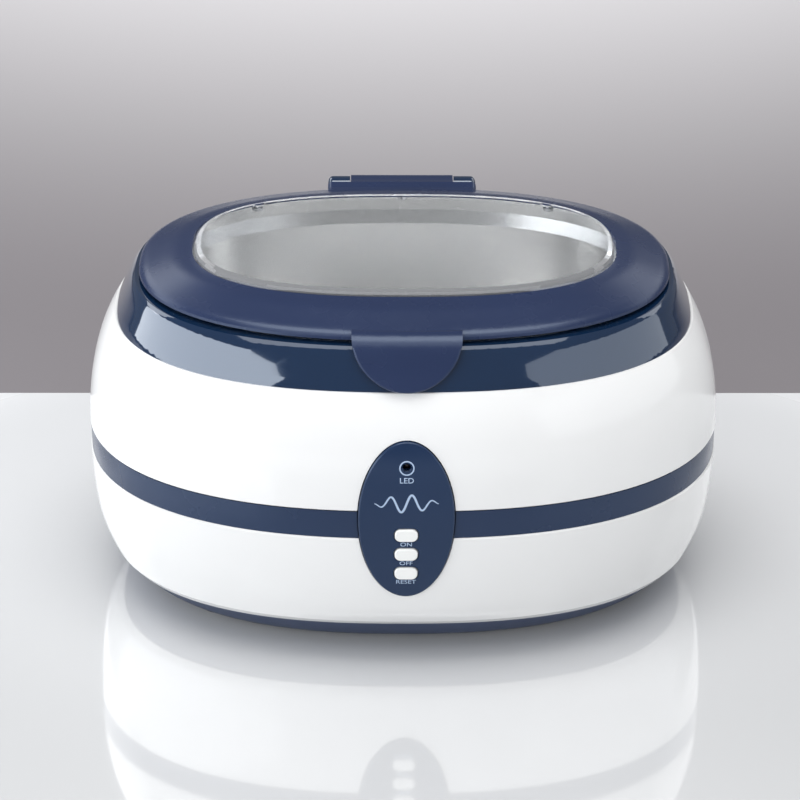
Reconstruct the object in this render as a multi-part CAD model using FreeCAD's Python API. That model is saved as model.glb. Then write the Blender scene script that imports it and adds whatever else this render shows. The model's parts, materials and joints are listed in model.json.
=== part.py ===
"""Bench-top ultrasonic cleaner: oval housing, stainless tank, hinged lid with a clear window.

Millimetres, +Z up. The origin is on the table, under the middle of the body; the control
panel faces -Y and the lid hinges at the +Y side.
"""
import FreeCAD, Part
import os
from functools import lru_cache
from math import cos, pi, sin, tan

V = FreeCAD.Vector

# Driving dimensions
HALF_WIDTH = 102.6          # widest half width of the body, at the belt
SIDE_GAP = 29.5             # every outline is this much shallower than it is wide, each side
WALL = 2.4                  # moulded wall of the housing
FOOT_HEIGHT = 2.5           # table to the underside of the base
BASE_TOP = 12.0             # where the base meets the lower shell
CREASE = 14.2               # the lower shell is chamfered below this height
SPIGOT_TOP = 14.6           # rim on the base that centres the lower shell
BELT_BOTTOM = 48.1
BELT_TOP = 57.8
SHELL_TOP = 94.4            # where the upper shell meets the top ring
RING_TOP = 106.9
LID_RIM = 108.3             # lowest edge of the closed lid
WINDOW_EDGE = 115.1         # edge of the lid's aperture
WINDOW_TOP = 116.3
LID_HALF = 85.2             # half width of the lid's rim
APERTURE_HALF = 68.0        # half width of the opening for the window
WINDOW_SEAT = 111.6         # underside of the window, on its retainer
TANK_HALF = 75.2            # tank mouth
TANK_FLOOR = 57.5
TANK_SHEET = 0.8
TANK_RIM = 107.7            # top of the tank's flange

# Body profile: height, half width, power of the superellipse
BODY_PROFILE = [
    (CREASE, 96.5, 2.36), (20.0, 99.6, 2.20), (32.0, 101.9, 2.26), (46.0, HALF_WIDTH, 2.36),
    (60.0, HALF_WIDTH, 2.37), (74.0, 101.1, 2.38), (86.0, 97.6, 2.40), (SHELL_TOP, 93.4, 2.41),
]
SKIRT = [(BASE_TOP, 94.1, 2.44), (CREASE, 96.5, 2.36)]

# Lid profile, from the rim's upper edge to the aperture
LID_DOME = [(109.1, 85.0, 2.33), (110.3, 83.7, 2.33), (111.3, 81.0, 2.34), (112.8, 76.4, 2.38),
            (114.1, 71.7, 2.45), (WINDOW_EDGE, APERTURE_HALF - 0.6, 2.53)]
WINDOW_POWER = 2.53

# Control panel: an egg-shaped oval on the front
PANEL_HALF = 15.0
PANEL_MID = 55.8            # height of the widest place
PANEL_TOP = 81.0
PANEL_BOTTOM = 27.0
PANEL_PROUD = 0.9
PANEL_GAP = 0.3
BUTTON_HEIGHTS = {"on": 50.1, "off": 43.2, "reset": 36.2}
BUTTON_WIDTH = 7.2
BUTTON_TALL = 4.3
BUTTON_GAP = 0.3
BUTTON_PROUD = 0.7
LED_HEIGHT = 73.1
BOARD_FRONT = -63.0         # front face of the control board
PCB = 1.6
SWITCH_DEPTH = 3.5
PLUNGER_FRONT = BOARD_FRONT - SWITCH_DEPTH - 1.2

# Hinge
HINGE_Y = 60.5
HINGE_Z = 107.5
PIN_R = 1.5
KNUCKLE_R = 4.5
KNUCKLE_HALF = 17.2
EAR_INNER = 17.5
EAR_OUTER = 25.0
EAR_R = 4.2

# Pull tab on the lid, an ellipse seen from the front
TAB_HALF = 17.0
TAB_TIP = 95.0
TAB_ROOT = 110.4
TAB_PROFILE = [(93.0, 95.9), (99.0, 93.2), (104.0, 90.9), (107.6, 89.0), (109.6, 87.0),
               (110.7, 84.0)]

# Power inlet: two pins 8.6 apart
INLET_Z = 26.0
INLET_WALL = 66.5           # flat floor of the recess that it sits in
INLET_DEPTH = 12.0          # socket cavity
INLET_FRONT = INLET_WALL + 1.6
INLET_PIN_R = 1.2
INLET_PITCH = 8.6
INLET_PIN_PLACES = (-INLET_PITCH / 2, INLET_PITCH / 2)

# Inside
BOARD_Z = 11.0              # underside of the main board
HORN_TOP = TANK_FLOOR - TANK_SHEET
BASE_SCREWS = [(x, y) for x in (-46, 46) for y in (-44, 44)]
HOUSING_SCREWS = [(x, y) for x in (-70, 70) for y in (-47, 47)]
FEET = [(x, y) for x in (-60, 60) for y in (-33, 33)]
MAIN_BOARD = (-77.0, -25.0, -34.0, 34.0)     # x and y limits
BOARD_SCREWS = [(x, y) for x in (-72.5, -29.5) for y in (-29.5, 29.5)]
PANEL_POSTS = [(-8.2, 63.5), (8.2, 63.5), (-7.2, 32.0), (7.2, 32.0)]
BUMPERS = [(x, y) for x in (-52, 52) for y in (-39.7, 39.7)]
BUMPER_TOP = 109.0

# Transducer stack
PIEZO_R = 15.0
PIEZO_H = 4.0
SHIM = 0.3

# Places on the main board
BOARD_TOP = BOARD_Z + PCB
TRANSFORMER = (-52.0, 14.0)
HEATSINKS = [(-33.5, 7.0), (-33.5, 20.0)]
FUSE_Y = -29.0
HEADER_HEIGHT = 8.0
HEADERS = {"mains": (-38.5, 30.5, 8.0), "transducer": (-28.5, -3.5, 6.0),
           "controls": (-33.0, -11.5, 8.0)}


# Helpers
def outline(half, power, z, points=32):
    """Closed superellipse |x/half|^power + |y/(half - SIDE_GAP)|^power = 1 at height z."""
    depth = half - SIDE_GAP
    path = []
    for i in range(points):
        c = cos(2 * pi * i / points)
        s = sin(2 * pi * i / points)
        r = (abs(c) ** power + abs(s) ** power) ** (-1 / power)
        path.append(V(half * r * c, depth * r * s, z))
    curve = Part.BSplineCurve()
    curve.interpolate(path, PeriodicFlag=True)
    return Part.Wire([curve.toShape()])


def loft(stations, ruled=False):
    """Solid through superellipse outlines given as (height, half width, power)."""
    return Part.makeLoft([outline(half, power, z) for z, half, power in stations], True, ruled)


def box(x0, x1, y0, y1, z0, z1):
    return Part.makeBox(x1 - x0, y1 - y0, z1 - z0, V(x0, y0, z0))


def plug(z0, z1, half, power):
    """Straight-sided oval solid."""
    return loft([(z0, half, power), (z1, half, power)], True)


def slab(z0, z1):
    return box(-200, 200, -200, 200, z0, z1)


def rod(radius, start, end):
    start = V(*start)
    end = V(*end)
    return Part.makeCylinder(radius, (end - start).Length, start, end - start)


def cone(r0, r1, start, end):
    start = V(*start)
    end = V(*end)
    return Part.makeCone(r0, r1, (end - start).Length, start, end - start)


def tube(outer, inner, start, end):
    return rod(outer, start, end).cut(rod(inner, start, end))


def fuse(shapes):
    whole = shapes[0]
    if len(shapes) > 1:
        whole = whole.fuse(shapes[1:])
    return whole.removeSplitter()


def group(shapes):
    """Separate solids of one node, such as a set of identical screws."""
    return Part.makeCompound(shapes)


def rounded_bar(x, z, width, tall, radius, y0, y1):
    """Bar along Y whose section is a rectangle with rounded corners, centred on x, z."""
    solid = box(x - width / 2, x + width / 2, y0, y1, z - tall / 2, z + tall / 2)
    edges = [e for e in solid.Edges if abs(e.Vertexes[0].Y - e.Vertexes[1].Y) > 1e-6]
    return solid.makeFillet(radius, edges)


def fillet_where(solid, radius, wanted):
    """Rounds the edges whose centre of mass passes the test; needs at least one."""
    edges = [e for e in solid.Edges if wanted(e)]
    if not edges:
        raise ValueError("no edge to round")
    return solid.makeFillet(radius, edges)


def egg(grow, y0, y1):
    """Prism along Y with the control panel's egg outline, grown evenly."""
    half = PANEL_HALF + grow
    up = PANEL_TOP - PANEL_MID + grow
    down = PANEL_MID - PANEL_BOTTOM + grow
    centre = V(0, y0, PANEL_MID)
    upper = half_ellipse(centre, half, up, 1)
    lower = half_ellipse(centre, half, down, -1)
    face = Part.Face(Part.Wire([upper, lower]))
    return face.extrude(V(0, y1 - y0, 0))


def half_ellipse(centre, half, tall, side):
    """Upper (side 1) or lower (side -1) half of an ellipse in a plane of constant y."""
    ends = [centre + V(-half, 0, 0), centre + V(half, 0, 0)]
    crown = centre + V(0, 0, side * tall)
    if tall >= half:
        curve = Part.Ellipse(crown, ends[1], centre)
    else:
        curve = Part.Ellipse(ends[1], crown, centre)
    first = curve.parameter(ends[0])
    last = curve.parameter(ends[1])
    for a, b in ((first, last), (last, first)):
        if b < a:
            b += 2 * pi
        middle = curve.value((a + b) / 2)
        if (middle.z - centre.z) * side > 0:
            return Part.Arc(curve, a, b).toShape()
    raise ValueError("half ellipse not found")


@lru_cache
def body_solid(inset):
    """The whole oval body between base and ring, every outline drawn in by inset."""
    return loft([(z, half - inset, power) for z, half, power in BODY_PROFILE])


def body_depth(z):
    """Half depth of the body at height z, between its profile's stations."""
    for (z0, a0, _), (z1, a1, _) in zip(BODY_PROFILE, BODY_PROFILE[1:]):
        if z0 <= z <= z1:
            return a0 + (a1 - a0) * (z - z0) / (z1 - z0) - SIDE_GAP
    raise ValueError("height outside the body")


def band(inset_out, inset_in, z0, z1):
    """Ring of housing wall between two heights."""
    return body_solid(inset_out).cut(body_solid(inset_in)).common(slab(z0, z1))


def rib_to_wall(x, y, z0, z1, thick=2.0):
    """Web from a boss at x, y outwards along Y; the caller trims it to the wall."""
    far = 90 if y > 0 else -90
    return box(x - thick / 2, x + thick / 2, min(y, far), max(y, far), z0, z1)


def pan_screw(x, y, head_z, length, up, shank_r=1.5, head_r=2.9, head_h=1.8):
    """Pan head screw on a vertical axis; head_z is the seat under the head."""
    d = 1 if up else -1
    head = rod(head_r, (x, y, head_z), (x, y, head_z - d * head_h))
    shank = rod(shank_r, (x, y, head_z), (x, y, head_z + d * (length - 1.2)))
    tip = cone(shank_r, 0.5, (x, y, head_z + d * (length - 1.2)), (x, y, head_z + d * length))
    slot_z = sorted((head_z - d * head_h, head_z - d * (head_h - 0.9)))
    cross = [box(x - 1.6, x + 1.6, y - 0.35, y + 0.35, *slot_z),
             box(x - 0.35, x + 0.35, y - 1.6, y + 1.6, *slot_z)]
    return fuse([head, shank, tip]).cut(fuse(cross))


def wire(points, radius):
    """Round wire along straight runs that are joined by tangent arcs."""
    points = [V(*p) for p in points]
    edges = []
    last = points[0]
    for before, corner, after in zip(points, points[1:], points[2:]):
        back = (before - corner)
        ahead = (after - corner)
        turn = pi - back.getAngle(ahead)
        reach = 0.45 * min(back.Length, ahead.Length)
        arc_r = reach / tan(turn / 2)
        back.normalize()
        ahead.normalize()
        start = corner + back * reach
        end = corner + ahead * reach
        inward = (back + ahead).normalize()
        middle = corner + inward * (arc_r * (1 / cos(turn / 2) - 1))
        edges.append(Part.LineSegment(last, start).toShape())
        edges.append(Part.Arc(start, middle, end).toShape())
        last = end
    edges.append(Part.LineSegment(last, points[-1]).toShape())
    path = Part.Wire(edges)
    ring = Part.Wire([Part.Circle(points[0], points[1] - points[0], radius).toShape()])
    return path.makePipeShell([ring], True, False)


# Base
def base_plate():
    """Shallow tray with a spigot, four screw seats, foot recesses, vents and board pillars."""
    outside = loft([(FOOT_HEIGHT, 85.2, 2.32), (3.6, 86.8, 2.34), (7.0, 90.0, 2.38),
                    (BASE_TOP, 93.8, 2.44)])
    spigot = plug(BASE_TOP - 1, SPIGOT_TOP, 91.4, 2.44)
    hollow = loft([(5.0, 84.0, 2.34), (8.0, 87.8, 2.40), (BASE_TOP - 1, 89.5, 2.44),
                   (SPIGOT_TOP + 0.1, 89.5, 2.44)], True)
    posts = [rod(4.6, (x, y, 4), (x, y, 7)) for x, y in BASE_SCREWS]
    posts += [cone(3.4, 2.8, (x, y, 4.5), (x, y, BOARD_Z)) for x, y in BOARD_SCREWS]
    plate = outside.fuse(spigot).cut(hollow).fuse(posts).removeSplitter()
    cuts = [vent_slot(side * (24 + 4.6 * i)) for side in (-1, 1) for i in range(7)]
    for x, y in BASE_SCREWS:
        cuts.append(rod(3.3, (x, y, 0), (x, y, 5)))
        cuts.append(rod(1.7, (x, y, 5), (x, y, 8)))
    cuts += [rod(1.25, (x, y, 5.5), (x, y, 12)) for x, y in BOARD_SCREWS]
    cuts += [rod(6.6, (x, y, 0), (x, y, 3.3)) for x, y in FEET]
    return plate.cut(group(cuts))


def vent_slot(x):
    """Round-ended slot along Y through the base."""
    slot = box(x - 1.1, x + 1.1, -12, 12, 0, 6)
    return slot.makeFillet(1.09, [e for e in slot.Edges
                                  if abs(e.Vertexes[0].Z - e.Vertexes[1].Z) > 1])


def rubber_feet():
    feet = []
    for x, y in FEET:
        foot = rod(6.5, (x, y, 0), (x, y, 3.3))
        foot = fillet_where(foot, 0.7, lambda e: e.CenterOfMass.z < 0.1 and e.Length > 30)
        feet.append(foot.cut(cone(3.0, 2.4, (x, y, -0.01), (x, y, 0.9))))
    return group(feet)


def base_screws():
    return group([pan_screw(x, y, 5.0, 14.0, True) for x, y in BASE_SCREWS])


# Housing
def skirt():
    """Chamfered lower edge of the lower shell."""
    inner = [(z, half - WALL, power) for z, half, power in SKIRT]
    return loft(SKIRT, True).cut(loft(inner, True))


def lower_shell():
    posts = []
    webs = [box(-16.4, 16.4, INLET_WALL - WALL, 80, INLET_Z - 10.9, INLET_Z + 10.9)]
    holes = []
    for x, y in BASE_SCREWS:
        posts.append(rod(3.7, (x, y, 7.1), (x, y, 26.0)))
        webs.append(rib_to_wall(x, y, 15.0, 25.5))
        holes.append(rod(1.5, (x, y, 7.0), (x, y, 20.0)))
    for x, y in HOUSING_SCREWS:
        posts.append(rod(3.7, (x, y, 30), (x, y, BELT_BOTTOM - 0.2)))
        webs.append(rib_to_wall(x, y, 31, BELT_BOTTOM - 0.6))
        holes.append(rod(3.2, (x, y, 29), (x, y, 40)))
        holes.append(rod(1.7, (x, y, 40), (x, y, 50)))
    core = body_solid(WALL / 2).common(slab(CREASE, BELT_BOTTOM))
    trimmed = [web.common(core) for web in webs]
    shell = band(0, WALL, CREASE, BELT_BOTTOM)
    whole = shell.fuse([skirt()] + posts + trimmed).removeSplitter()
    pocket = rounded_bar(0, INLET_Z, 28, 17, 3, INLET_WALL, 90)
    mouth = rounded_bar(0, INLET_Z, 19.6, 11.6, 3, INLET_WALL - 5, 90)
    whole = whole.cut(group(holes)).cut(pocket).cut(mouth)
    return whole.cut(egg(PANEL_GAP, -120, -50)).cut(belt_bevel(BELT_BOTTOM, -1))


def belt_bevel(z, side):
    """Small chamfer along the joint line at height z, on the shell's side of it."""
    deep = z + side * 0.5
    low, high = sorted((z, deep))
    power = 2.37
    big = loft([(low, HALF_WIDTH + 3, power), (high, HALF_WIDTH + 3, power)], True)
    at_joint = HALF_WIDTH - 0.45
    away = HALF_WIDTH + 0.1
    sizes = (at_joint, away) if z < deep else (away, at_joint)
    keep = loft([(low, sizes[0], power), (high, sizes[1], power)], True)
    return big.cut(keep)


def belt_trim():
    """Coloured belt between the shells, with tongues that line them up."""
    face = band(0.35, WALL + 0.4, BELT_BOTTOM + 0.15, BELT_TOP - 0.15)
    tongue = band(WALL + 0.25, WALL + 1.6, BELT_BOTTOM - 3.5, BELT_TOP + 3.5)
    clear = [egg(PANEL_GAP, -120, -50)]
    for x, y in HOUSING_SCREWS:
        low, high = sorted((y, 90 if y > 0 else -90))
        clear.append(box(x - 4.3, x + 4.3, low, high, 40, BELT_BOTTOM + 0.1))
        clear.append(box(x - 4.3, x + 4.3, low, high, BELT_TOP - 0.1, 70))
        clear.append(rod(4.2, (x, y, 40), (x, y, 70)))
    behind_panel = band(WALL + 0.1, WALL + 3, 40, 70).common(box(-17.5, 17.5, -90, -50, 40, 70))
    return face.fuse(tongue).removeSplitter().cut(fuse(clear)).cut(behind_panel)


def upper_shell():
    core = body_solid(WALL / 2).common(slab(BELT_TOP - 10, SHELL_TOP))
    posts = []
    holes = []
    for x, y in HOUSING_SCREWS:
        posts.append(rod(3.7, (x, y, BELT_BOTTOM + 0.2), (x, y, 72)))
        posts.append(rib_to_wall(x, y, BELT_TOP + 0.3, 70).common(core))
        holes.append(rod(1.5, (x, y, 45), (x, y, 66)))
    ledge = loft([(91.4, 92.9, 2.41), (93.2, 92.0, 2.41)], True).cut(plug(91.0, 93.3, 88.6, 2.41))
    shell = band(0, WALL, BELT_TOP, SHELL_TOP)
    whole = shell.fuse(posts + [ledge]).removeSplitter().cut(group(holes))
    return whole.cut(egg(PANEL_GAP, -120, -50)).cut(belt_bevel(BELT_TOP, 1))


def housing_screws():
    return group([pan_screw(x, y, 40.0, 24.0, True) for x, y in HOUSING_SCREWS])


# Top ring, hinge pin and tank
def top_ring():
    """Glossy ring around the tank, with the land for its flange and the hinge ears."""
    power = 2.41
    skin = loft([(SHELL_TOP, 92.8, power), (98.0, 91.4, power), (102.5, 89.3, power),
                 (106.2, 87.2, power), (RING_TOP, 86.5, power)])
    hollow = loft([(SHELL_TOP - 1, 90.9, power), (98.0, 89.0, power), (104.5, 85.9, power)])
    collar = plug(96.0, 105.0, 79.2, power)
    spigot = plug(90.0, 96.0, 88.4, power).cut(plug(89.0, 97.0, 86.6, power))
    bridge = loft([(94.6, 90.6, power), (95.8, 90.2, power)], True)
    bridge = bridge.cut(plug(94.0, 96.0, 86.6, power))
    ring = skin.cut(hollow).fuse([collar, spigot, bridge] + hinge_seat()).removeSplitter()
    ring = ring.cut(plug(106.1, RING_TOP + 1, 80.6, power))
    ring = ring.cut(plug(90.0, 120.0, TANK_HALF + 1.6, power))
    barrel = rod(KNUCKLE_R + 0.5, (-EAR_INNER, HINGE_Y, HINGE_Z), (EAR_INNER, HINGE_Y, HINGE_Z))
    slot = box(-EAR_INNER, EAR_INNER, HINGE_Y - 7, HINGE_Y, HINGE_Z - 1.2, 130)
    bore = rod(PIN_R, (-EAR_OUTER + 1, HINGE_Y, HINGE_Z), (EAR_OUTER - 1, HINGE_Y, HINGE_Z))
    return ring.cut(barrel).cut(slot).cut(bore)


def hinge_seat():
    """Rounded trough behind the ring and the two ears that carry the pin."""
    trough = rod(KNUCKLE_R + 2.2, (-EAR_OUTER, HINGE_Y, HINGE_Z), (EAR_OUTER, HINGE_Y, HINGE_Z))
    trough = trough.common(box(-30, 30, 50, 80, 90, HINGE_Z - 0.8))
    foot = prism_x([(53.5, 96.5), (61.5, 96.5), (66.6, HINGE_Z - 1.5), (53.5, HINGE_Z - 1.5)],
                   EAR_OUTER)
    foot = foot.cut(rod(KNUCKLE_R + 0.5, (-30, HINGE_Y, HINGE_Z), (30, HINGE_Y, HINGE_Z)))
    seat = [trough, foot]
    for side in (-1, 1):
        x0, x1 = sorted((side * EAR_INNER, side * EAR_OUTER))
        ear = rod(EAR_R, (x0, HINGE_Y, HINGE_Z), (x1, HINGE_Y, HINGE_Z))
        outer_x = side * EAR_OUTER
        ear = fillet_where(ear, 1.8, lambda e: abs(e.CenterOfMass.x - outer_x) < 0.1
                           and e.Length > 20)
        post = box(x0, x1, HINGE_Y - EAR_R, HINGE_Y + EAR_R, HINGE_Z - 6, HINGE_Z)
        post = fillet_where(post, 1.8, lambda e: abs(e.CenterOfMass.x - outer_x) < 0.1
                            and abs(e.Vertexes[0].Z - e.Vertexes[1].Z) > 1)
        seat += [ear, post]
    return seat


def prism_x(points, half):
    """Prism along X, from -half to half, whose section is a polygon of (y, z) points."""
    ring = [V(-half, y, z) for y, z in points]
    face = Part.Face(Part.makePolygon(ring + ring[:1]))
    return face.extrude(V(2 * half, 0, 0))


def hinge_pin():
    end = EAR_OUTER - 1.2
    return rod(PIN_R, (-end, HINGE_Y, HINGE_Z), (end, HINGE_Y, HINGE_Z))


def tank():
    """Deep-drawn tank: flat flange, a flared mouth above the wall, rounded floor edge."""
    outer = fuse([tank_skin(TANK_SHEET),
                  plug(TANK_RIM - TANK_SHEET, TANK_RIM, 80.2, 2.41)])
    return outer.cut(tank_skin(0))


def tank_skin(grow):
    """Inside of the tank as a solid, or its outside when grown by the sheet's thickness."""
    floor = [(TANK_FLOOR - grow, 60.0 + grow, 2.40), (TANK_FLOOR + 1.2 - grow, 65.5 + grow, 2.40),
             (TANK_FLOOR + 4.5 - 0.5 * grow, 70.4 + grow, 2.40), (TANK_FLOOR + 14, 72.8 + grow, 2.41)]
    wall = [floor[-1], (99.0, 73.6 + grow, 2.41), (103.4, 75.0 + grow, 2.41),
            (TANK_RIM, TANK_HALF + grow + 0.3, 2.41)]
    return fuse([loft(floor), loft(wall, True)])


def tank_gasket():
    """Silicone bead between the tank's flange and the ring's land."""
    low = 106.1
    high = TANK_RIM - TANK_SHEET
    return plug(low, high, 80.2, 2.41).cut(plug(low - 1, high + 1, 77.0, 2.41))


# Transducer under the tank
def stack_heights():
    """Heights of the stack's faces, from the horn's underside down."""
    z = HORN_TOP - 18.0
    heights = [z]
    for thick in (SHIM, PIEZO_H, SHIM, PIEZO_H, SHIM, 12.0):
        z -= thick
        heights.append(z)
    return heights


def transducer_horn():
    low = stack_heights()[0]
    horn = fuse([cone(16.0, 21.0, (0, 0, low + 6), (0, 0, HORN_TOP - 3)),
                 rod(16.0, (0, 0, low), (0, 0, low + 6)),
                 rod(21.0, (0, 0, HORN_TOP - 3), (0, 0, HORN_TOP))])
    return horn.cut(rod(3.05, (0, 0, low), (0, 0, low + 11)))


def piezo_rings():
    h = stack_heights()
    return group([tube(PIEZO_R, 6.0, (0, 0, h[2]), (0, 0, h[1])),
                  tube(PIEZO_R, 6.0, (0, 0, h[4]), (0, 0, h[3]))])


def electrodes():
    """Contact rings: live in the middle, earth at both ends, each with a solder tab."""
    h = stack_heights()
    rings = []
    for i, y in ((0, -5), (2, 5), (4, -5)):
        ring = tube(PIEZO_R - 0.3, 6.2, (0, 0, h[i + 1]), (0, 0, h[i]))
        tab = box(-20.0, -12.0, y - 2, y + 2, h[i + 1], h[i])
        hole = rod(0.7, (-18.4, y, h[i] - 1), (-18.4, y, h[i] + 1))
        rings.append(ring.fuse(tab).removeSplitter().cut(hole))
    return group(rings)


def insulating_sleeve():
    h = stack_heights()
    return tube(5.2, 3.1, (0, 0, h[5]), (0, 0, h[0]))


def transducer_back_mass():
    h = stack_heights()
    block = rod(PIEZO_R + 0.5, (0, 0, h[6]), (0, 0, h[5]))
    block = block.makeChamfer(1.0, [e for e in block.Edges if e.CenterOfMass.z < h[6] + 0.1
                                    and e.Length > 50])
    return block.cut(rod(3.2, (0, 0, h[6]), (0, 0, h[5])))


def transducer_bolt():
    h = stack_heights()
    head = rod(5.0, (0, 0, h[6] - 5.0), (0, 0, h[6]))
    head = head.cut(hexagon(2.6, h[6] - 5.0, h[6] - 2.0))
    return fuse([head, rod(3.0, (0, 0, h[6] - 0.5), (0, 0, h[0] + 10.5))])


def hexagon(radius, z0, z1):
    corners = [V(radius * cos(i * pi / 3), radius * sin(i * pi / 3), z0) for i in range(6)]
    return Part.Face(Part.makePolygon(corners + corners[:1])).extrude(V(0, 0, z1 - z0))


# Control panel and its board
def control_panel():
    """Egg-shaped panel that stands a little proud, with holes for the buttons and light."""
    front = body_solid(-PANEL_PROUD).common(egg(0, -120, -60))
    front = fillet_where(front, 0.6, lambda e: e.CenterOfMass.y < -66 and e.Length > 30)
    front = front.cut(body_solid(WALL + 0.6))
    flange = body_solid(WALL + 0.25).cut(body_solid(WALL + 1.6)).common(egg(1.6, -120, -50))
    posts = []
    holes = []
    for x, z in PANEL_POSTS:
        posts.append(rod(2.1, (x, BOARD_FRONT, z), (x, -body_depth(z) + 2.5, z)))
        holes.append(rod(1.0, (x, BOARD_FRONT, z), (x, BOARD_FRONT - 5.5, z)))
    panel = fuse([front, flange] + posts)
    for z in BUTTON_HEIGHTS.values():
        gap = 2 * BUTTON_GAP
        holes.append(rounded_bar(0, z, BUTTON_WIDTH + gap, BUTTON_TALL + gap, 2.0, -90, -60))
        back = -body_depth(z) + 1.5
        holes.append(box(-5.2, 5.2, back, back + 6, z - 3.3, z + 3.3))
    face = -body_depth(LED_HEIGHT) - PANEL_PROUD
    holes.append(rod(1.25, (0, -90, LED_HEIGHT), (0, -60, LED_HEIGHT)))
    holes.append(cone(1.25, 1.9, (0, face + 0.6, LED_HEIGHT), (0, face - 0.05, LED_HEIGHT)))
    holes.append(rod(2.3, (0, face + 2.0, LED_HEIGHT), (0, -60, LED_HEIGHT)))
    return panel.cut(fuse(holes))


def control_board():
    board = rounded_bar(0, 52.5, 24.0, 51.0, 3.0, BOARD_FRONT, BOARD_FRONT + PCB)
    holes = [rod(1.1, (x, BOARD_FRONT - 1, z), (x, BOARD_FRONT + 3, z)) for x, z in PANEL_POSTS]
    return board.cut(fuse(holes))


def control_board_screws():
    """Small pan head screws that hold the board on the panel's posts."""
    screws = []
    back = BOARD_FRONT + PCB
    for x, z in PANEL_POSTS:
        head = rod(1.9, (x, back, z), (x, back + 1.3, z))
        shank = rod(1.0, (x, back, z), (x, back - 5.6, z))
        cross = fuse([box(x - 1.0, x + 1.0, back + 0.7, back + 1.4, z - 0.2, z + 0.2),
                      box(x - 0.2, x + 0.2, back + 0.7, back + 1.4, z - 1.0, z + 1.0)])
        screws.append(head.fuse(shank).removeSplitter().cut(cross))
    return group(screws)


def push_button(z):
    """Pill cap with a retaining flange and a stem to the switch."""
    front = -body_depth(z) - PANEL_PROUD - BUTTON_PROUD
    back = -body_depth(z) + 1.9
    cap = rounded_bar(0, z, BUTTON_WIDTH, BUTTON_TALL, 1.9, front, back)
    cap = fillet_where(cap, 0.5, lambda e: abs(e.CenterOfMass.y - front) < 0.01)
    flange = box(-4.7, 4.7, back, back + 1.0, z - 2.9, z + 2.9)
    stem = rod(1.8, (0, back + 0.5, z), (0, PLUNGER_FRONT, z))
    return fuse([cap, flange, stem])


def switch_plunger(z):
    return rod(1.7, (0, PLUNGER_FRONT, z), (0, BOARD_FRONT - SWITCH_DEPTH + 0.9, z))


def switch_bodies():
    """One tactile switch behind each button."""
    switches = []
    for z in BUTTON_HEIGHTS.values():
        body = box(-3, 3, BOARD_FRONT - SWITCH_DEPTH, BOARD_FRONT, z - 3, z + 3)
        body = body.makeChamfer(0.4, [e for e in body.Edges
                                      if abs(e.Vertexes[0].Y - e.Vertexes[1].Y) > 1])
        well = rod(1.78, (0, BOARD_FRONT - 4, z), (0, BOARD_FRONT - 1.2, z))
        switches.append(body.cut(well))
    return group(switches)


def power_led():
    """3 mm light behind its hole in the panel, with two leads to the board."""
    tip = -body_depth(LED_HEIGHT) + 0.6
    lens = rod(1.15, (0, tip + 1.15, LED_HEIGHT), (0, tip + 4.2, LED_HEIGHT))
    dome = Part.makeSphere(1.15, V(0, tip + 1.15, LED_HEIGHT))
    rim = rod(1.6, (0, tip + 4.2, LED_HEIGHT), (0, tip + 5.0, LED_HEIGHT))
    leads = [rod(0.25, (x, tip + 4.6, LED_HEIGHT), (x, BOARD_FRONT, LED_HEIGHT))
             for x in (-0.8, 0.8)]
    return fuse([lens, dome, rim] + leads)


# Main board and what is on it
def main_board():
    x0, x1, y0, y1 = MAIN_BOARD
    board = box(x0, x1, y0, y1, BOARD_Z, BOARD_Z + PCB)
    board = board.makeFillet(3.0, [e for e in board.Edges
                                   if abs(e.Vertexes[0].Z - e.Vertexes[1].Z) > 1])
    return board.cut(fuse([rod(1.7, (x, y, 0), (x, y, 20)) for x, y in BOARD_SCREWS]))


def main_board_screws():
    return group([pan_screw(x, y, BOARD_TOP, 6.6, False, 1.25, 2.7, 1.7)
                  for x, y in BOARD_SCREWS])


def transformer_core():
    """Ferrite E core pair: two yokes, two outer legs and a centre leg."""
    x, y = TRANSFORMER
    z0 = BOARD_TOP + 1.2
    z1 = z0 + 20
    block = box(x - 12.5, x + 12.5, y - 3.5, y + 3.5, z0, z1)
    windows = [box(x - 9.3, x - 3.6, y - 5, y + 5, z0 + 3.4, z1 - 3.4),
               box(x + 3.6, x + 9.3, y - 5, y + 5, z0 + 3.4, z1 - 3.4)]
    return block.cut(fuse(windows))


def transformer_winding():
    """Bobbin with its winding round the centre leg, on two pin rails."""
    x, y = TRANSFORMER
    z0 = BOARD_TOP + 1.2
    coil = box(x - 8.9, x + 8.9, y - 8.5, y + 8.5, z0 + 4.6, z0 + 15.4)
    coil = coil.makeFillet(3.0, [e for e in coil.Edges
                                 if abs(e.Vertexes[0].Z - e.Vertexes[1].Z) > 5])
    flanges = [box(x - 9.1, x + 9.1, y - 9, y + 9, z, z + 1.2)
               for z in (z0 + 3.6, z0 + 15.2)]
    rails = [box(x - 9, x + 9, y + s * 8 - 1.5, y + s * 8 + 1.5, BOARD_TOP, z0 + 4.0)
             for s in (-1, 1)]
    body = fuse([coil] + flanges + rails)
    return body.cut(box(x - 3.7, x + 3.7, y - 3.6, y + 3.6, z0, z0 + 20))


def choke():
    """Toroid choke standing on the board."""
    x, y, z = -40.0, -20.0, BOARD_TOP + 9.2
    ring = Part.makeTorus(5.6, 3.3, V(x, y, z), V(0, 1, 0))
    return ring.fuse(box(x - 4, x + 4, y - 2.2, y + 2.2, BOARD_TOP, z - 7.4)).removeSplitter()


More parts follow.
